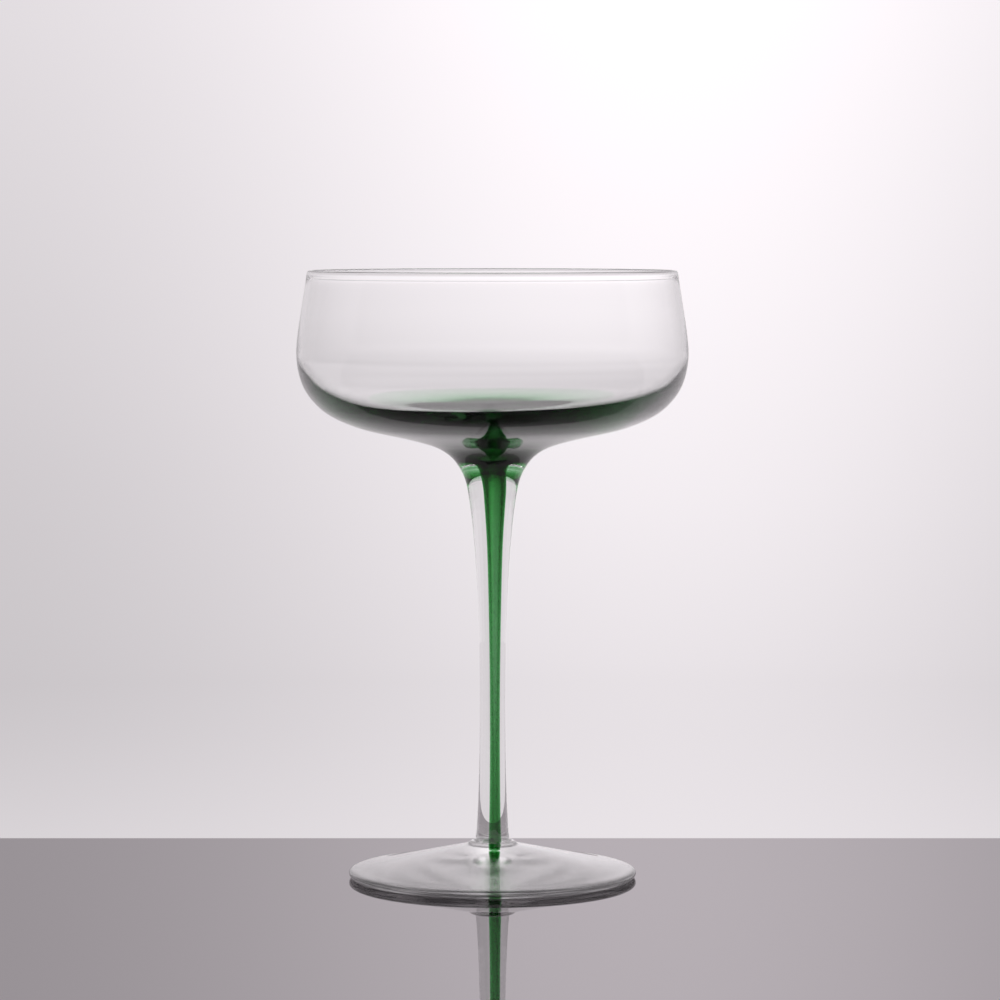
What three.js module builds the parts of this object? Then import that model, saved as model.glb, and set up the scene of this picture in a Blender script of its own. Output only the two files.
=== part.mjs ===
// Stemmed glass: wide shallow clear bowl, drawn stem with a green layer cased
// inside it, round clear foot. Millimetres, +Z up. The origin is the middle of
// the foot where it stands, and Z is the axis that every piece is turned about.
import * as THREE from 'three';
import { mergeVertices } from 'three/addons/utils/BufferGeometryUtils.js';

// ---------------------------------------------------------------- dimensions
const HEIGHT = 170.0;            // foot to top of the rim
const NECK_JOINT_Z = 121.3;      // plane where the stem is fused to the bowl
const NECK_JOINT_R = 17.3;       // radius of the glass in that plane
const FOOT_JOINT_Z = 4.4;        // floor of the seat that the stem stands in
const SEAT_R = 4.9;              // radius of that seat
const FUSE_GAP = 0.05;           // stands for a fused joint between two solids
const CORE_OFFSET_X = 0.45;      // the green layer runs this far off the axis
const CORE_OFFSET_FADE = [108, 119];   // heights where it comes back to centre
const STEPS = 48;                // facets round every piece

// Bowl, outside, from the neck joint up to the rim: [radius, height].
const BOWL_OUTSIDE = [
  [NECK_JOINT_R, NECK_JOINT_Z], [21.4, 122.45], [25.5, 123.42], [29.9, 124.34],
  [33.6, 125.15], [36.7, 125.95], [39.9, 127.1], [42.9, 128.35],
  [45.2, 129.55], [47.3, 131.0], [49.1, 132.6], [50.7, 134.45],
  [52.0, 136.35], [53.0, 138.3], [53.75, 140.6], [54.3, 143.1],
  [54.6, 146.0], [54.55, 149.0], [54.2, 152.2], [53.6, 156.5],
  [52.7, 162.3], [52.05, 166.3], [51.72, 168.3],
];
// The fire-polished rim, a small bead, from outside to inside.
const RIM_BEAD = [
  [51.62, 169.2], [51.42, 169.75], [51.08, HEIGHT], [50.74, 169.75], [50.6, 169.2],
];
// Bowl, inside, from under the bead down to the middle of the floor.
const BOWL_INSIDE = [
  [50.68, 168.7], [50.95, 168.0], [51.27, 166.3], [51.9, 162.3], [52.8, 156.5],
  [53.35, 152.2], [53.6, 149.0], [53.6, 146.5], [53.4, 144.4], [52.95, 142.4],
  [52.2, 140.3], [51.0, 138.1], [49.1, 135.8], [46.6, 133.75], [43.9, 132.2],
  [41.0, 131.0], [37.5, 129.8], [33.0, 128.65], [27.0, 127.55],
  [20.0, 126.6], [10.0, 125.75], [0, 125.5],
];

// Stem, outside, from the seat in the foot up to the neck joint.
const STEM_OUTSIDE = [
  [4.85, FOOT_JOINT_Z + FUSE_GAP], [4.8, 10.0], [4.49, 13.15], [4.22, 17.4],
  [4.02, 21.6], [3.82, 27.3], [3.67, 33.0], [3.56, 40.0], [3.52, 47.0],
  [3.57, 56.0], [3.77, 69.0], [4.12, 78.0], [4.53, 86.4], [5.02, 93.0],
  [5.6, 99.5], [6.2, 104.3], [6.85, 108.5], [7.45, 111.3], [8.2, 113.2],
  [9.2, 115.05], [10.4, 116.8], [11.95, 118.4], [13.3, 119.4], [15.2, 120.5],
  [NECK_JOINT_R, NECK_JOINT_Z - FUSE_GAP],
];
// Green layer: [outer radius, height, thickness]. A tube in the stem that opens
// like a trumpet and thins out to a film in the base of the bowl.
const LAYER = [
  [1.3, FOOT_JOINT_Z + FUSE_GAP, 0.9], [1.2, 8.0, 0.82], [1.1, 13.0, 0.74],
  [1.0, 21.0, 0.64], [0.94, 36.0, 0.58], [0.94, 50.0, 0.54], [1.02, 64.0, 0.53],
  [1.19, 78.0, 0.62], [1.4, 92.0, 0.68], [1.7, 100.0, 0.84], [1.98, 106.0, 1.0],
  [2.15, 110.0, 1.1], [2.4, 113.6, 1.25], [2.8, 116.4, 1.45], [3.7, 118.5, 1.6],
  [5.4, 119.9, 1.5], [7.6, 120.9, 1.2], [10.2, 121.8, 0.8], [13.0, 122.6, 0.52],
  [15.5, 123.15, 0.36], [18.5, 123.6, 0.26], [22.0, 124.2, 0.2], [26.0, 124.85, 0.17],
  [30.0, 125.55, 0.15], [33.0, 126.1, 0.15], [35.5, 126.7, 0.15],
];

// Foot, from the floor of the seat up its wall, over the small collar and the
// cone to the edge, round it to the standing ring, and in under the recess.
const FOOT_PROFILE = [
  [0, FOOT_JOINT_Z], [SEAT_R, FOOT_JOINT_Z], [SEAT_R, 9.75], [5.15, 10.1],
  [5.55, 10.28], [6.0, 10.18], [6.5, 9.85], [7.0, 9.5], [7.7, 9.24],
  [8.6, 9.04], [12.0, 8.25], [18.0, 6.89], [24.0, 5.53], [30.0, 4.18],
  [35.0, 3.08], [37.0, 2.74], [38.5, 2.52], [39.5, 2.26], [40.05, 1.88],
  [40.2, 1.4], [40.1, 0.85], [39.75, 0.36], [39.2, 0.08], [38.6, 0],
  [34.5, 0], [33.0, 0.07], [26.0, 0.3], [18.0, 0.57], [8.0, 0.9], [0, 1.0],
];

// ------------------------------------------------------------------- helpers
// How far the green layer stands off the axis at a height.
function coreShift(z) {
  const [lo, hi] = CORE_OFFSET_FADE;
  const t = Math.min(1, Math.max(0, (z - lo) / (hi - lo)));
  return CORE_OFFSET_X * (1 - t * t * (3 - 2 * t));
}

// The same curve moved to the right of its direction, by one distance or by a
// distance for each point. The first point keeps its height.
function beside(points, d) {
  return points.map(([r, z], i) => {
    const a = points[Math.max(0, i - 1)];
    const b = points[Math.min(points.length - 1, i + 1)];
    const len = Math.hypot(b[0] - a[0], b[1] - a[1]);
    const by = Array.isArray(d) ? d[i] : d;
    const nr = (b[1] - a[1]) / len;
    const nz = -(b[0] - a[0]) / len;
    return [r + by * nr, i === 0 ? z : z + by * nz];
  });
}

// The part of a rising curve under or over a height, cut off level there.
function cutAt(points, z) {
  const k = points.findIndex((p) => p[1] > z);
  const [a, b] = [points[k - 1], points[k]];
  const t = (z - a[1]) / (b[1] - a[1]);
  return { k, at: [a[0] + t * (b[0] - a[0]), z] };
}
function under(points, z) {
  const { k, at } = cutAt(points, z);
  return [...points.slice(0, k), at];
}
function over(points, z) {
  const { k, at } = cutAt(points, z);
  return [at, ...points.slice(k)];
}

// A curve with its last point moved on along its last direction.
function longer(points, d) {
  const [a, b] = points.slice(-2);
  const len = Math.hypot(b[0] - a[0], b[1] - a[1]);
  return [...points.slice(0, -1), [b[0] + d * (b[0] - a[0]) / len, b[1] + d * (b[1] - a[1]) / len]];
}

// A profile in the R-Z half plane turned about Z. Points where shifted is true
// follow the green layer's offset. The profile runs so that faces point out.
function turned(profile, shifted = () => false) {
  const pts = profile.map(([r, z]) => new THREE.Vector2(r, z));
  const lathe = new THREE.LatheGeometry(pts, STEPS);
  lathe.rotateX(Math.PI / 2);
  lathe.deleteAttribute('normal');
  lathe.deleteAttribute('uv');
  const pos = lathe.getAttribute('position');
  for (let i = 0; i < pos.count; i++) {
    const k = i % profile.length;
    if (shifted(k)) pos.setX(i, pos.getX(i) + coreShift(profile[k][1]));
  }
  const merged = mergeVertices(lathe, 1e-4);
  // Drop the slivers that a profile point on the axis leaves behind.
  const index = merged.getIndex().array;
  const kept = [];
  for (let i = 0; i < index.length; i += 3) {
    const [a, b, c] = [index[i], index[i + 1], index[i + 2]];
    if (a !== b && b !== c && a !== c) kept.push(a, b, c);
  }
  merged.setIndex(kept);
  if (signedVolume(merged) < 0) {
    for (let i = 0; i < kept.length; i += 3) [kept[i + 1], kept[i + 2]] = [kept[i + 2], kept[i + 1]];
    merged.setIndex(kept);
  }
  merged.computeVertexNormals();
  return merged;
}

function signedVolume(geometry) {
  const p = geometry.getAttribute('position');
  const ix = geometry.getIndex().array;
  const a = new THREE.Vector3(), b = new THREE.Vector3(), c = new THREE.Vector3();
  let v = 0;
  for (let i = 0; i < ix.length; i += 3) {
    a.fromBufferAttribute(p, ix[i]);
    b.fromBufferAttribute(p, ix[i + 1]);
    c.fromBufferAttribute(p, ix[i + 2]);
    v += a.dot(b.cross(c)) / 6;
  }
  return v;
}

function piece(name, geometry, material) {
  const mesh = new THREE.Mesh(geometry, material);
  mesh.name = name;
  return mesh;
}

// ----------------------------------------------------------------- materials
const clearGlass = () => new THREE.MeshStandardMaterial({
  color: 0xeef2f0, roughness: 0.03, metalness: 0, transparent: true, opacity: 0.3,
});
const greenGlass = () => new THREE.MeshStandardMaterial({
  color: 0x12702a, roughness: 0.03, metalness: 0, transparent: true, opacity: 0.8,
});

// -------------------------------------------------------------------- pieces
// Both sides of the green layer, and the same with the fuse gap added.
const layerOutside = LAYER.map(([r, z]) => [r, z]);
const layerInside = beside(layerOutside, LAYER.map((p) => -p[2]));
const aroundLayer = longer(beside(layerOutside, FUSE_GAP), FUSE_GAP);
const withinLayer = longer(beside(layerInside, -FUSE_GAP), FUSE_GAP);

// Bowl: plane over the centre rod, round the pocket that holds the green film,
// out along the neck joint, up the outside, over the rim, down inside.
const bowlProfile = [
  [0, NECK_JOINT_Z], ...over(withinLayer, NECK_JOINT_Z),
  ...over(aroundLayer, NECK_JOINT_Z).reverse(),
  ...BOWL_OUTSIDE, ...RIM_BEAD, ...BOWL_INSIDE,
];
const bowl = piece('bowl', turned(bowlProfile), clearGlass());

// Clear casing: outside of the stem, and a bore that the green layer fills.
const bore = under(aroundLayer, NECK_JOINT_Z - FUSE_GAP);
const casingProfile = [...STEM_OUTSIDE, ...[...bore].reverse(), STEM_OUTSIDE[0]];
const boreFirst = STEM_OUTSIDE.length;
const boreLast = boreFirst + bore.length - 1;
const stemCasing = piece('stem_casing',
  turned(casingProfile, (k) => k >= boreFirst && k <= boreLast), clearGlass());

// Green layer: tube, trumpet and film, between the casing and the centre.
const layerProfile = [...layerOutside, ...[...layerInside].reverse(), layerOutside[0]];
const greenLayer = piece('green_stem_layer', turned(layerProfile, () => true), greenGlass());

// Clear centre: a thin rod with a trumpet-shaped head that fills the layer.
const rodSide = under(withinLayer, NECK_JOINT_Z - FUSE_GAP);
const rodProfile = [[0, rodSide[0][1]], ...rodSide, [0, NECK_JOINT_Z - FUSE_GAP]];
const centreRod = piece('stem_centre_rod', turned(rodProfile, () => true), clearGlass());

// Foot: low cone with a rounded edge, a small collar and a shallow recess below.
const foot = piece('foot', turned(FOOT_PROFILE), clearGlass());

const stem = new THREE.Group();
stem.add(stemCasing, greenLayer, centreRod);

const glass = new THREE.Group();
glass.add(bowl, stem, foot);

export default glass;
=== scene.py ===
import bpy
import math
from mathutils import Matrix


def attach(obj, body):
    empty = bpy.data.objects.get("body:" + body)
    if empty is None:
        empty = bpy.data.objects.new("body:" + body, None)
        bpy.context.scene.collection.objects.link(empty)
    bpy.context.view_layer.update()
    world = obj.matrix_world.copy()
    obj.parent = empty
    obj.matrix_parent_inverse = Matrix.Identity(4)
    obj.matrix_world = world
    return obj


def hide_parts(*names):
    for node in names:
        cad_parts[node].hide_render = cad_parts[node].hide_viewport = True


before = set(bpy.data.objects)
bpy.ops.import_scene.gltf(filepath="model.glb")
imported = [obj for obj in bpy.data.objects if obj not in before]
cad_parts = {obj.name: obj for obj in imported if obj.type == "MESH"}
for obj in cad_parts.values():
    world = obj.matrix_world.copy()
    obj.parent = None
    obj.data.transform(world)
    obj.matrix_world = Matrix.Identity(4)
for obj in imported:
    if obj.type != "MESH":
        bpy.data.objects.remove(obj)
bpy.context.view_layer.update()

scene = bpy.context.scene

# ---------------------------------------------------------------- shape data
# Profiles of the turned glass, in millimetres: [radius, height].
JOINT_Z = 121.3          # plane where the stem is fused to the bowl
SEAT_Z = 1.7             # bottom of the seat that holds the stem in the foot
SEAT_R = 4.9             # radius of that seat
FUSED_BELOW = 9.62       # the casing is fused to the foot under this height
CORE_OFFSET = 0.45       # the green layer stands this far off the axis, along +X
GAP = 0.02               # clearance between the green layer and the clear glass
FLOOR_LEAN = 0.022       # the floor of the bowl rises this much towards +X

STEM_OUTSIDE = [
    [4.86, 1.75], [4.85, 4.45], [4.83, 9.0], [4.8, 10.0], [4.65, 11.3], [4.49, 13.15], [4.3, 16.0],
    [4.14, 18.8], [4.02, 21.6], [3.91, 24.5], [3.82, 27.3], [3.67, 33.0], [3.57, 39.0],
    [3.52, 47.0], [3.55, 54.0], [3.64, 61.5], [3.77, 69.0], [4.0, 75.0], [4.25, 81.0],
    [4.53, 86.4], [4.84, 91.0], [5.2, 95.0], [5.6, 99.5], [6.02, 103.0], [6.45, 106.0],
    [6.85, 108.5], [7.3, 110.7], [7.85, 112.4], [8.48, 113.8], [9.2, 115.05],
    [10.05, 116.35], [10.9, 117.4], [11.95, 118.4], [13.3, 119.4], [15.2, 120.5]]
BOWL_OUTSIDE = [
    [18.0, 121.5], [21.4, 122.45], [25.5, 123.42], [29.9, 124.34], [33.6, 125.15],
    [36.7, 125.95], [39.0, 126.75], [41.1, 127.55], [42.9, 128.35], [44.5, 129.15],
    [45.9, 130.0], [47.0, 130.8], [48.05, 131.6], [49.7, 133.25], [50.95, 134.75],
    [51.95, 136.25], [52.75, 137.75], [53.4, 139.4], [53.9, 141.2], [54.3, 143.1],
    [54.55, 145.1], [54.62, 147.2], [54.5, 149.5], [54.2, 152.2], [53.75, 155.5],
    [53.15, 159.3], [52.55, 163.2], [52.05, 166.3], [51.75, 168.2]]
RIM_BEAD = [
    [51.65, 168.9], [51.6, 169.35], [51.42, 169.8], [51.08, 170.08], [50.74, 169.8], [50.6, 169.35]]
BOWL_INSIDE = [
    [50.66, 168.8], [50.95, 168.0], [51.27, 166.3], [51.77, 163.2], [52.36, 159.3], [52.95, 155.5],
    [53.35, 152.2], [53.6, 149.5], [53.65, 147.2], [53.55, 145.1], [53.15, 143.0],
    [52.4, 140.68], [51.2, 138.2], [49.2, 135.77], [46.7, 133.71], [44.0, 132.2],
    [41.0, 131.0], [37.5, 129.78], [33.0, 128.65], [27.0, 127.55], [20.0, 126.6],
    [10.0, 125.75]]
FLOOR_Z = 125.5
# The green layer: outer radius, height and thickness. It is a tube in the stem that opens
# like a trumpet and thins out to a film in the base of the bowl.
LAYER = [
    [1.36, 1.75, 0.98], [1.3, 4.45, 0.95], [1.2, 8.0, 0.93], [1.1, 13.0, 0.86], [1.0, 21.0, 0.77], [0.94, 36.0, 0.67],
    [0.94, 50.0, 0.52], [1.02, 64.0, 0.48], [1.19, 78.0, 0.54], [1.4, 92.0, 0.59],
    [1.7, 100.0, 0.67], [1.98, 106.0, 0.76], [2.15, 110.0, 0.84], [2.35, 114.0, 1.15],
    [2.6, 116.8, 1.7], [3.3, 118.8, 2.1], [5.1, 120.1, 2.1], [7.5, 121.05, 1.9],
    [10.2, 121.85, 1.3], [13.0, 122.6, 0.6], [15.5, 123.15, 0.36], [18.5, 123.6, 0.26],
    [22.0, 124.2, 0.18], [26.0, 124.85, 0.12], [30.0, 125.55, 0.085], [33.0, 126.1, 0.06],
    [35.5, 126.7, 0.045]]
FOOT_TOP = [
    [4.9, 9.6], [5.1, 10.1], [5.5, 10.4], [6.0, 10.3], [6.5, 9.9], [7.0, 9.45], [7.7, 9.22], [8.6, 9.04],
    [12.0, 8.25], [16.0, 7.34], [20.0, 6.44], [24.0, 5.53], [28.0, 4.63], [32.0, 3.73],
    [35.0, 3.08], [37.0, 2.74], [38.5, 2.55], [39.5, 2.3], [40.1, 1.9], [40.3, 1.4],
    [40.15, 0.85], [39.8, 0.35], [39.3, 0.05]]
FOOT_UNDER = [
    [38.6, -0.03], [37.5, 0.0], [36.0, 0.0], [34.5, 0.02], [33.0, 0.07], [30.0, 0.17],
    [26.0, 0.3], [20.0, 0.5], [14.0, 0.7], [8.0, 0.9]]
FOOT_UNDER_Z = 1.0

# ---------------------------------------------------------------- mesh tools
def spline(knots, steps):
    """Points on a uniform cubic B-spline that starts and ends on its end knots."""
    p = [tuple(map(float, k)) for k in knots]
    p = ([(2 * p[0][0] - p[1][0], 2 * p[0][1] - p[1][1])] + p
         + [(2 * p[-1][0] - p[-2][0], 2 * p[-1][1] - p[-2][1])])
    out = []
    for i in range(len(p) - 3):
        for k in range(steps):
            t = k / steps
            w = ((1 - t) ** 3 / 6, (3 * t ** 3 - 6 * t ** 2 + 4) / 6,
                 (-3 * t ** 3 + 3 * t ** 2 + 3 * t + 1) / 6, t ** 3 / 6)
            out.append((sum(w[j] * p[i + j][0] for j in range(4)),
                        sum(w[j] * p[i + j][1] for j in range(4))))
    out.append(p[-2])
    return out


def to_axis(curve):
    """Cut a curve where it reaches the axis."""
    for i, (r, z) in enumerate(curve):
        if i > 20 and r <= 1e-6:
            return curve[:i] + [(0.0, z)]
    return curve


def curve_normals(curve):
    """Unit normals to the right of the direction of travel."""
    out = []
    for i in range(len(curve)):
        a, b = curve[max(0, i - 1)], curve[min(len(curve) - 1, i + 1)]
        dr, dz = b[0] - a[0], b[1] - a[1]
        n = math.hypot(dr, dz) or 1.0
        out.append((dz / n, -dr / n))
    if curve[-1][0] <= 1e-6:
        out[-1] = (0.0, math.copysign(1.0, out[-1][1]))
    return out


def beside(curve, d):
    """The curve moved d to the right, with its first height kept."""
    return [(r + d * n[0], z + (d * n[1] if 0 < i else 0.0))
            for i, ((r, z), n) in enumerate(zip(curve, curve_normals(curve)))]


def cut_at(curve, z, above):
    """The part of a rising curve above or below a height, ended level there."""
    for i in range(len(curve) - 1):
        (r0, z0), (r1, z1) = curve[i], curve[i + 1]
        if z0 < z <= z1:
            p = (r0 + (z - z0) / (z1 - z0) * (r1 - r0), z)
            return [p] + curve[i + 1:] if above else curve[:i + 1] + [p]


def coarser(curve):
    """Every other point of a curve, with both ends kept."""
    return curve[:-1:2] + [curve[-1]]


def longer(curve, d):
    """The curve with its last point moved on along its last direction."""
    (r0, z0), (r1, z1) = curve[-2:]
    n = math.hypot(r1 - r0, z1 - z0)
    return curve[:-1] + [(r1 + d * (r1 - r0) / n, z1 + d * (z1 - z0) / n)]


def core_shift(z):
    """Sideways place of the green layer: it runs into the middle under the bowl."""
    t = min(1.0, max(0.0, (z - 108.0) / 11.0))
    return CORE_OFFSET * (1 - t * t * (3 - 2 * t))


def band(curve, slot, shifted=False, backwards=False):
    """One smooth run of a profile with its normals."""
    ns = curve_normals(curve)
    pts = [(r, z, core_shift(z) if shifted else 0.0) for r, z in curve]
    if backwards:
        pts, ns = pts[::-1], [(-a, -b) for a, b in ns[::-1]]
    return pts, ns, slot


def flat(a, b, slot):
    """One flat step of a profile between two points."""
    dr, dz = b[0] - a[0], b[1] - a[1]
    n = math.hypot(dr, dz)
    nn = (dz / n, -dr / n)
    return [a, b], [nn, nn], slot


def turned(name, runs, seg):
    """A closed turned mesh. The runs follow one another round the profile, with the
    glass to the left of the direction of travel, and share their end points."""
    verts, rings, faces, slots, normals = [], {}, [], [], []
    turn = [(math.cos(2 * math.pi * i / seg), math.sin(2 * math.pi * i / seg)) for i in range(seg)]

    def ring(p):
        key = (round(p[0], 5), round(p[1], 5), round(p[2], 5))
        if key not in rings:
            b = len(verts)
            if p[0] < 1e-6:
                verts.append((p[2] / 1000, 0.0, p[1] / 1000))
                rings[key] = [b] * seg
            else:
                lean = p[3] if len(p) > 3 else 0.0
                verts.extend(((p[0] * c + p[2]) / 1000, p[0] * s / 1000, (p[1] + lean * p[0] * c) / 1000)
                             for c, s in turn)
                rings[key] = list(range(b, b + seg))
        return rings[key]

    def nrm(n, i, p):
        c, s = turn[i]
        lean = p[3] if len(p) > 3 else 0.0
        return (n[0] * c - lean * n[1], n[0] * s, n[1])

    for pts, ns, slot in runs:
        for k in range(len(pts) - 1):
            a, b = ring(pts[k]), ring(pts[k + 1])
            if a is b:
                continue
            na, nb = ns[k], ns[k + 1]
            for i in range(seg):
                j = (i + 1) % seg
                if pts[k][0] < 1e-6:
                    faces.append((a[0], b[j], b[i]))
                    normals += [(0, 0, math.copysign(1, na[1])), nrm(nb, j, pts[k + 1]), nrm(nb, i, pts[k + 1])]
                elif pts[k + 1][0] < 1e-6:
                    faces.append((a[i], a[j], b[0]))
                    normals += [nrm(na, i, pts[k]), nrm(na, j, pts[k]), (0, 0, math.copysign(1, nb[1]))]
                else:
                    faces.append((a[i], a[j], b[j], b[i]))
                    normals += [nrm(na, i, pts[k]), nrm(na, j, pts[k]), nrm(nb, j, pts[k + 1]), nrm(nb, i, pts[k + 1])]
                slots.append(slot)
    me = bpy.data.meshes.new(name)
    me.from_pydata(verts, [], faces)
    me.polygons.foreach_set("material_index", slots)
    me.polygons.foreach_set("use_smooth", [True] * len(faces))
    me.normals_split_custom_set(normals)
    me.update()
    ob = bpy.data.objects.new(name, me)
    scene.collection.objects.link(ob)
    return ob


# ---------------------------------------------------------------- materials
class Nodes:
    """Short helper for building a node tree."""
    def __init__(self, tree):
        self.t = tree

    def add(self, kind, **values):
        n = self.t.nodes.new("ShaderNode" + kind)
        for key, v in values.items():
            setattr(n, key, v)
        return n

    def link(self, a, b):
        self.t.links.new(a, b)

    def math(self, op, a, b=None, c=None, clamp=False):
        n = self.add("Math", operation=op, use_clamp=clamp)
        for i, v in enumerate((a, b, c)):
            if v is None:
                continue
            if hasattr(v, "is_linked"):
                self.link(v, n.inputs[i])
            else:
                n.inputs[i].default_value = v
        return n.outputs[0]

    def ramp(self, value, stops):
        """A map through the given (value, result) stops, straight between them."""
        a, b = stops[0][0], stops[-1][0]
        m = self.add("MapRange")
        m.inputs[1].default_value, m.inputs[2].default_value = a, b
        self.link(value, m.inputs[0])
        r = self.add("ValToRGB")
        e = r.color_ramp.elements
        while len(e) > 1:
            e.remove(e[-1])
        e[0].position = 0.0
        e[0].color = (stops[0][1],) * 3 + (1,)
        for x, y in stops[1:]:
            e.new((x - a) / (b - a)).color = (y, y, y, 1)
        self.link(m.outputs[0], r.inputs[0])
        return r.outputs[0]


def new_material(name):
    m = bpy.data.materials.new(name)
    m.use_nodes = True
    return m, Nodes(m.node_tree)


def wave(n, scale, stretch, detail, seed):
    """Soft noise stretched along the axes, in the object's own space."""
    tc = n.add("TexCoord")
    mp = n.add("Mapping")
    mp.inputs["Location"].default_value = (seed, seed * 0.37, seed * 0.61)
    mp.inputs["Scale"].default_value = stretch
    n.link(tc.outputs["Object"], mp.inputs["Vector"])
    no = n.add("TexNoise")
    no.inputs["Scale"].default_value = scale
    no.inputs["Detail"].default_value = detail
    n.link(mp.outputs["Vector"], no.inputs["Vector"])
    return no.outputs["Fac"]


def cords(n, around, along, detail, seed):
    """Soft noise in lines that run along a turned piece: up the stem, out over the base."""
    tc = n.add("TexCoord")
    xyz = n.add("SeparateXYZ")
    n.link(tc.outputs["Object"], xyz.inputs[0])
    turn = n.math("ARCTAN2", xyz.outputs[1], xyz.outputs[0])
    at = n.add("CombineXYZ")
    n.link(n.math("ADD", n.math("MULTIPLY", n.math("COSINE", turn), around), seed), at.inputs[0])
    n.link(n.math("MULTIPLY", n.math("SINE", turn), around), at.inputs[1])
    n.link(n.math("MULTIPLY", xyz.outputs[2], along), at.inputs[2])
    no = n.add("TexNoise")
    no.inputs["Scale"].default_value = 1.0
    no.inputs["Detail"].default_value = detail
    n.link(at.outputs[0], no.inputs["Vector"])
    return no.outputs["Fac"]


def glass(name, ior, height=None, distance=0.0):
    m, n = new_material(name)
    b = m.node_tree.nodes["Principled BSDF"]
    b.inputs["Base Color"].default_value = (1, 1, 1, 1)
    b.inputs["Roughness"].default_value = 0.0
    b.inputs["IOR"].default_value = ior
    b.inputs["Transmission Weight"].default_value = 1.0
    if height:
        bump = n.add("Bump")
        bump.inputs["Strength"].default_value = 1.0
        bump.inputs["Distance"].default_value = distance
        n.link(height(n), bump.inputs["Height"])
        n.link(bump.outputs["Normal"], b.inputs["Normal"])
    return m


def fused(name, dark, light, height):
    """Glass with another piece fused to it: light passes it unbent, and fine cords in the
    glass take a little of it. The cords fade where the glass spreads out thin."""
    m, n = new_material(name)
    b = m.node_tree.nodes["Principled BSDF"]
    m.node_tree.nodes.remove(b)
    t = n.add("BsdfTransparent")
    tone = n.add("Mix", data_type="RGBA")
    tone.inputs["A"].default_value = dark
    tone.inputs["B"].default_value = light
    at = n.add("TexCoord")
    across = n.add("Mapping")
    across.inputs["Scale"].default_value = (1.0, 1.0, 0.0)
    out = n.add("VectorMath", operation="LENGTH")
    n.link(at.outputs["Object"], across.inputs["Vector"])
    n.link(across.outputs["Vector"], out.inputs[0])
    cord = n.ramp(height(n), [(0.3, 0.0), (0.42, 0.75), (0.6, 1.0)])
    thin = n.ramp(out.outputs["Value"], [(0.0, 0.0), (0.008, 0.0), (0.026, 1.0), (0.04, 1.0)])
    n.link(n.math("MAXIMUM", cord, thin), tone.inputs["Factor"])
    n.link(tone.outputs["Result"], t.inputs["Color"])
    n.link(t.outputs[0], m.node_tree.nodes["Material Output"].inputs["Surface"])
    return m


IOR = 1.51
# The blown bowl is faintly wavy, and the drawn stem has faint lines along it.
bowl_glass = glass("bowl_glass_clear", IOR, lambda n: wave(n, 1.0, (55.0, 55.0, 30.0), 1.0, 3.1), 0.000003)
bowl_glass.node_tree.nodes["Principled BSDF"].inputs["Specular Tint"].default_value = (0.15, 0.15, 0.15, 1)
stem_glass = glass("stem_glass_clear", IOR, lambda n: wave(n, 1.0, (700.0, 700.0, 9.0), 1.0, 7.3), 0.0000015)
foot_glass = glass("foot_glass_clear", IOR)
grey = bowl_glass.node_tree.nodes.new("ShaderNodeVolumeAbsorption")
grey.inputs["Color"].default_value = (0.0, 0.0, 0.0, 1)
grey.inputs["Density"].default_value = 20.0
bowl_glass.node_tree.links.new(grey.outputs[0], bowl_glass.node_tree.nodes["Material Output"].inputs["Volume"])
# Painted highlight: a band round the top of the rim, patchy by noise, is made partly milky white so that it reads as
# lit.
n = Nodes(bowl_glass.node_tree)
at = n.add("TexCoord")
xyz = n.add("SeparateXYZ")
n.link(at.outputs["Object"], xyz.inputs[0])
painted_rim_highlight = n.math("MULTIPLY", n.ramp(xyz.outputs[2], [(0.1694, 0.0), (0.1698, 1.0), (0.171, 1.0)]),
              n.ramp(wave(n, 1.0, (60.0, 60.0, 60.0), 2.0, 4.4), [(0.3, 0.25), (0.7, 0.5)]))
n.link(n.math("SUBTRACT", 1.0, painted_rim_highlight), bowl_glass.node_tree.nodes["Principled BSDF"].inputs["Transmission Weight"])
# The underside of the foot is a little uneven, so what is seen in it is soft. Its edge has painted shade: dark streaks
# round it in the base colour.
n = Nodes(foot_glass.node_tree)
foot_bsdf = foot_glass.node_tree.nodes["Principled BSDF"]
at = n.add("TexCoord")
xyz = n.add("SeparateXYZ")
n.link(at.outputs["Object"], xyz.inputs[0])
out = n.math("SQRT", n.math("ADD", n.math("MULTIPLY", xyz.outputs[0], xyz.outputs[0]),
                            n.math("MULTIPLY", xyz.outputs[1], xyz.outputs[1])))
under = n.math("MULTIPLY", n.ramp(out, [(0.0, 0.35), (0.0055, 0.4), (0.0115, 1.0), (0.0366, 1.0), (0.0376, 0.0)]),
               n.ramp(xyz.outputs[2], [(0.0, 1.0), (0.0013, 1.0), (0.0016, 0.0)]))
n.link(n.math("MULTIPLY", under, 0.19), foot_bsdf.inputs["Roughness"])
# Painted shade: near-black streaks in the base colour round the edge of the foot.
edge = n.math("MULTIPLY", n.ramp(out, [(0.0385, 0.0), (0.0392, 1.0), (0.05, 1.0)]),
              n.ramp(xyz.outputs[2], [(0.0, 1.0), (0.0021, 1.0), (0.0024, 0.0)]))
stretch = n.add("Mapping")
stretch.inputs["Scale"].default_value = (60.0, 60.0, 2600.0)
n.link(at.outputs["Object"], stretch.inputs["Vector"])
streak = n.add("TexNoise")
streak.inputs["Scale"].default_value = 1.0
streak.inputs["Detail"].default_value = 3.0
n.link(stretch.outputs["Vector"], streak.inputs["Vector"])
dark = n.math("MULTIPLY", edge, n.ramp(streak.outputs["Fac"], [(0.3, 0.97), (0.5, 0.85), (0.62, 0.3), (0.7, 0.0)]))
painted_edge_shade = n.add("Mix", data_type="RGBA")
painted_edge_shade.inputs["A"].default_value = (1, 1, 1, 1)
painted_edge_shade.inputs["B"].default_value = (0.02, 0.02, 0.022, 1)
n.link(dark, painted_edge_shade.inputs["Factor"])
n.link(painted_edge_shade.outputs["Result"], foot_bsdf.inputs["Base Color"])
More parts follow.
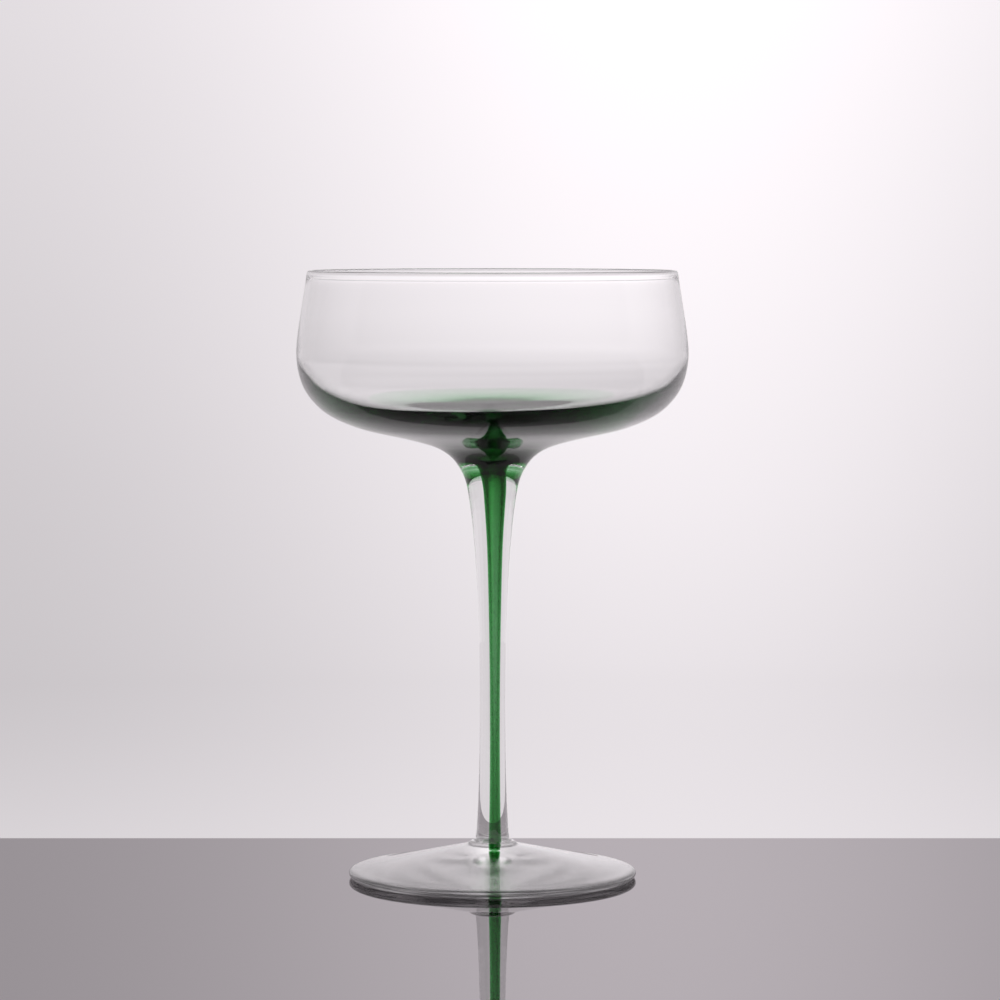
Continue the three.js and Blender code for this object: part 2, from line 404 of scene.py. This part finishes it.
fused_glass = fused("fused_face", (0.985, 0.99, 0.987, 1), (1, 1, 1, 1),
                    lambda n: cords(n, 2.2, 30.0, 2.0, 1.7))
rod_glass = fused("centre_glass_clear", (0.95, 0.975, 0.955, 1), (1, 1, 1, 1),
                  lambda n: cords(n, 1.6, 14.0, 2.0, 5.9))
green_glass = fused("green_glass_layer", (0.92, 0.955, 0.925, 1), (1, 1, 1, 1),
                    lambda n: cords(n, 2.4, 10.0, 2.0, 2.3))
absorb = green_glass.node_tree.nodes.new("ShaderNodeVolumeAbsorption")
absorb.inputs["Color"].default_value = (0.0, 0.57, 0.11, 1)
absorb.inputs["Density"].default_value = 2150.0
green_glass.node_tree.links.new(absorb.outputs[0],
                                green_glass.node_tree.nodes["Material Output"].inputs["Volume"])

# ---------------------------------------------------------------- the five pieces
CLEAR, FUSED = 0, 1
STEPS = 6
whole = to_axis(spline(STEM_OUTSIDE + BOWL_OUTSIDE + RIM_BEAD + BOWL_INSIDE
                       + [[0.0, FLOOR_Z], [-BOWL_INSIDE[-1][0], BOWL_INSIDE[-1][1]]], STEPS))
for cut in range(len(whole) - 1):
    if whole[cut][1] < JOINT_Z <= whole[cut + 1][1]:
        t = (JOINT_Z - whole[cut][1]) / (whole[cut + 1][1] - whole[cut][1])
        joint_r = whole[cut][0] + t * (whole[cut + 1][0] - whole[cut][0])
        break
whole = whole[:cut + 1] + [(joint_r, JOINT_Z)] + whole[cut + 1:]
whole_n = curve_normals(whole)
k = cut + 1
top_k = max(range(len(whole)), key=lambda i: whole[i][1])      # the top of the rim


def part_of(a, b, slot):
    """A run of the outer curve, with the normals of the unbroken curve."""
    return [(r, z, 0.0, floor_lean(i + a, r)) for i, (r, z) in enumerate(whole[a:b])], whole_n[a:b], slot


def floor_lean(i, r):
    """The lean of the floor of the bowl, which fades out up its wall."""
    if i <= top_k:
        return 0.0
    t = min(1.0, max(0.0, (52.5 - r) / 9.0))
    z = whole[i][1]
    return FLOOR_LEAN * t * t * (3 - 2 * t) if z < 150.0 else 0.0


seat_k = next(i for i in range(len(whole)) if whole[i][1] > FUSED_BELOW)

layer_out = spline([p[:2] for p in LAYER], STEPS)
thick = [p[0] for p in spline([[p[2], p[1]] for p in LAYER], STEPS)]
layer_in = [(r - t * n[0], z - (t * n[1] if 0 < i else 0.0))
            for i, ((r, z), n, t) in enumerate(zip(layer_out, curve_normals(layer_out), thick))]
around = longer(beside(layer_out, GAP), 2 * GAP)
within = longer(beside(layer_in, -GAP), 2 * GAP)
bore = cut_at(around, JOINT_Z, False)
rod_side = cut_at(within, JOINT_Z, False)
pocket_under = coarser(cut_at(around, JOINT_Z, True))
pocket_over = coarser(cut_at(within, JOINT_Z, True))


def sh(p):
    return (p[0], p[1], core_shift(p[1]))


bowl = turned("bowl_visual", [
    flat((0.0, JOINT_Z, 0.0), sh(pocket_over[0]), FUSED),
    band(pocket_over, FUSED),
    flat(sh(pocket_over[-1]), sh(pocket_under[-1]), FUSED),
    band(pocket_under, FUSED, False, True),
    flat(sh(pocket_under[0]), (joint_r, JOINT_Z, 0.0), FUSED),
    part_of(k, len(whole), CLEAR)], 224)

stem = turned("stem_casing_visual", [
    part_of(0, seat_k + 1, FUSED),
    part_of(seat_k, k + 1, CLEAR),
    flat((joint_r, JOINT_Z, 0.0), sh(bore[-1]), FUSED),
    band(bore, FUSED, True, True),
    flat(sh(bore[0]), (whole[0][0], whole[0][1], 0.0), FUSED)], 192)

layer = turned("green_stem_layer_visual", [
    band(layer_out, 0, True),
    flat(sh(layer_out[-1]), sh(layer_in[-1]), 0),
    band(layer_in, 0, True, True),
    flat(sh(layer_in[0]), sh(layer_out[0]), 0)], 144)

rod_top = rod_side[-1]
rod = turned("stem_centre_rod_visual", [
    flat((0.0, rod_side[0][1], core_shift(0)), sh(rod_side[0]), 0),
    band(rod_side, 0, True),
    flat(sh(rod_top), (0.0, rod_top[1], core_shift(rod_top[1])), 0)], 96)

foot_curve = to_axis(spline(FOOT_TOP + FOOT_UNDER + [[0.0, FOOT_UNDER_Z], [-8.0, FOOT_UNDER[-1][1]]], STEPS))
foot_curve = foot_curve[::-1]          # from the middle of the underside up to the seat
foot_n = curve_normals(foot_curve)
foot = turned("foot_visual", [
    ([(r, z, 0.0) for r, z in foot_curve], foot_n, CLEAR),
    flat((foot_curve[-1][0], foot_curve[-1][1], 0.0), (SEAT_R, SEAT_Z, 0.0), FUSED),
    flat((SEAT_R, SEAT_Z, 0.0), (0.0, SEAT_Z, 0.0), FUSED)], 256)

for piece, mats, node, slot in (
        (bowl, (bowl_glass, fused_glass), "bowl", "bowl_glass"),
        (stem, (stem_glass, fused_glass), "stem_casing", "stem_glass"),
        (layer, (green_glass,), "green_stem_layer", "green_glass"),
        (rod, (rod_glass,), "stem_centre_rod", "centre_glass"),
        (foot, (foot_glass, fused_glass), "foot", "foot_glass")):
    for m in mats:
        piece.data.materials.append(m)
    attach(piece, "root")
    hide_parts(node)

# ---------------------------------------------------------------- camera
cam = bpy.data.cameras.new("camera")
cam.sensor_width = 36.0
cam.lens = 150.0
eye = bpy.data.objects.new("camera", cam)
eye.location = (0.0021, -1.16029, 0.18377)
eye.rotation_euler = (math.radians(90 - 3.836), 0.0, 0.0)
scene.collection.objects.link(eye)
scene.camera = eye

# ---------------------------------------------------------------- studio
# A bright tent all round: an even backdrop with a soft glow low behind the glass, and a
# lighter room at the sides and in front.
world = bpy.data.worlds.new("studio")
scene.world = world
world.use_nodes = True
n = Nodes(world.node_tree)
back = world.node_tree.nodes["Background"]
tc = n.add("TexCoord")
xyz = n.add("SeparateXYZ")
n.link(tc.outputs["Generated"], xyz.inputs[0])
deg = 180 / math.pi
az = n.math("MULTIPLY", n.math("ARCTAN2", xyz.outputs[0], xyz.outputs[1]), deg)
el = n.math("MULTIPLY", n.math("ARCSINE", xyz.outputs[2]), deg)
away = n.math("ABSOLUTE", az)
back_v = n.ramp(el, [(-90, 0.5), (-60, 0.66), (-15, 0.72), (-8.6, 0.68), (-6.5, 0.56), (-3.8, 0.585),
                     (-1, 0.645), (3, 0.72), (12, 0.72), (28, 0.7), (46, 0.76), (90, 0.8)])
back_h = n.ramp(away, [(0, 1), (47, 1), (62, 0.93), (180, 0.93)])
hot_h = n.math("DIVIDE", n.math("SUBTRACT", az, 2.3), 6.2)
hot_h = n.math("EXPONENT", n.math("MULTIPLY", n.math("MULTIPLY", hot_h, hot_h), -1.0))
hot_v = n.ramp(el, [(-12, 0.05), (-8.6, 0.13), (-6, 0.25), (-3.8, 0.31), (-1, 0.33), (3, 0.36), (9, 0.42),
                    (16, 0.3), (26, 0.0), (90, 0.0)])
room_v = n.ramp(el, [(-90, 0.5), (-30, 0.5), (30, 0.5), (90, 0.5)])
room_h = n.ramp(away, [(0, 0), (50, 0.0), (70, 0.2), (100, 0.5), (140, 0.8), (180, 0.9)])
roof = n.ramp(el, [(-90, 0.0), (32, 0.0), (45, 1.0), (90, 1.0)])
back_h = n.math("MAXIMUM", back_h, roof)
room_h = n.math("MULTIPLY", room_h, n.ramp(el, [(-90, 1.0), (30, 1.0), (60, 0.0), (90, 0.0)]))
light = n.math("ADD", n.math("MULTIPLY", back_v, back_h), n.math("MULTIPLY", hot_h, hot_v))
light = n.math("ADD", light, n.math("MULTIPLY", room_v, room_h))
side_v = n.ramp(el, [(-12, 0.0), (-8.6, 0.04), (-6.5, 0.14), (-3.8, 0.12), (-1, 0.06), (3, 0.0)])
side_h = n.ramp(away, [(0, 0.0), (8, 0.0), (16, 1.0), (180, 1.0)])
light = n.math("ADD", light, n.math("MULTIPLY", side_v, side_h))
tint = n.add("CombineColor")
n.link(light, tint.inputs[0])
n.link(n.math("MULTIPLY", light, 0.953), tint.inputs[1])
n.link(n.math("MULTIPLY", light, 0.985), tint.inputs[2])
n.link(tint.outputs[0], back.inputs["Color"])
back.inputs["Strength"].default_value = 1.0

# Pale, polished slab that the glass stands on. Its back edge is just behind the foot.
fx, fy0, fy1 = 3.0, -3.0, 0.0731
me = bpy.data.meshes.new("floor")
me.from_pydata([(-fx, fy0, 0), (fx, fy0, 0), (fx, fy1, 0), (-fx, fy1, 0)], [], [(0, 1, 2, 3)])
floor = bpy.data.objects.new("floor", me)
floor.location.z = -0.00004
scene.collection.objects.link(floor)
m, n = new_material("floor_polished")
m.node_tree.nodes.remove(m.node_tree.nodes["Principled BSDF"])
mix = n.add("MixShader")
n.link(mix.outputs[0], m.node_tree.nodes["Material Output"].inputs["Surface"])
lw = n.add("LayerWeight")
lw.inputs["Blend"].default_value = 0.5
n.link(n.ramp(lw.outputs["Facing"], [(0.45, 0.0), (0.78, 1.0)]), mix.inputs[0])
matt = n.add("BsdfDiffuse")
matt.inputs["Color"].default_value = (0.41, 0.396, 0.403, 1)
gloss = n.add("BsdfGlossy")
gloss.inputs["Roughness"].default_value = 0.0
gloss.inputs["Color"].default_value = (0.412, 0.396, 0.407, 1)
n.link(matt.outputs[0], mix.inputs[1])
n.link(gloss.outputs[0], mix.inputs[2])
me.materials.append(m)

# Wide soft light from above for the slab.
la = bpy.data.lights.new("top_light", "AREA")
la.shape = "DISK"
la.size = 1.2
la.energy = 1.5
top = bpy.data.objects.new("top_light", la)
top.location = (0.0, -0.62, 2.0)
scene.collection.objects.link(top)
top.visible_camera = False
top.visible_glossy = False
top.visible_transmission = False

# ---------------------------------------------------------------- picture
scene.view_settings.view_transform = "Standard"
scene.view_settings.look = "None"
c = scene.cycles
c.max_bounces = 48
c.transmission_bounces = 48
c.glossy_bounces = 48
c.diffuse_bounces = 3
c.transparent_max_bounces = 64
c.caustics_reflective = True
c.caustics_refractive = True
c.sample_clamp_indirect = 0.0
c.denoising_input_passes = "RGB_ALBEDO"
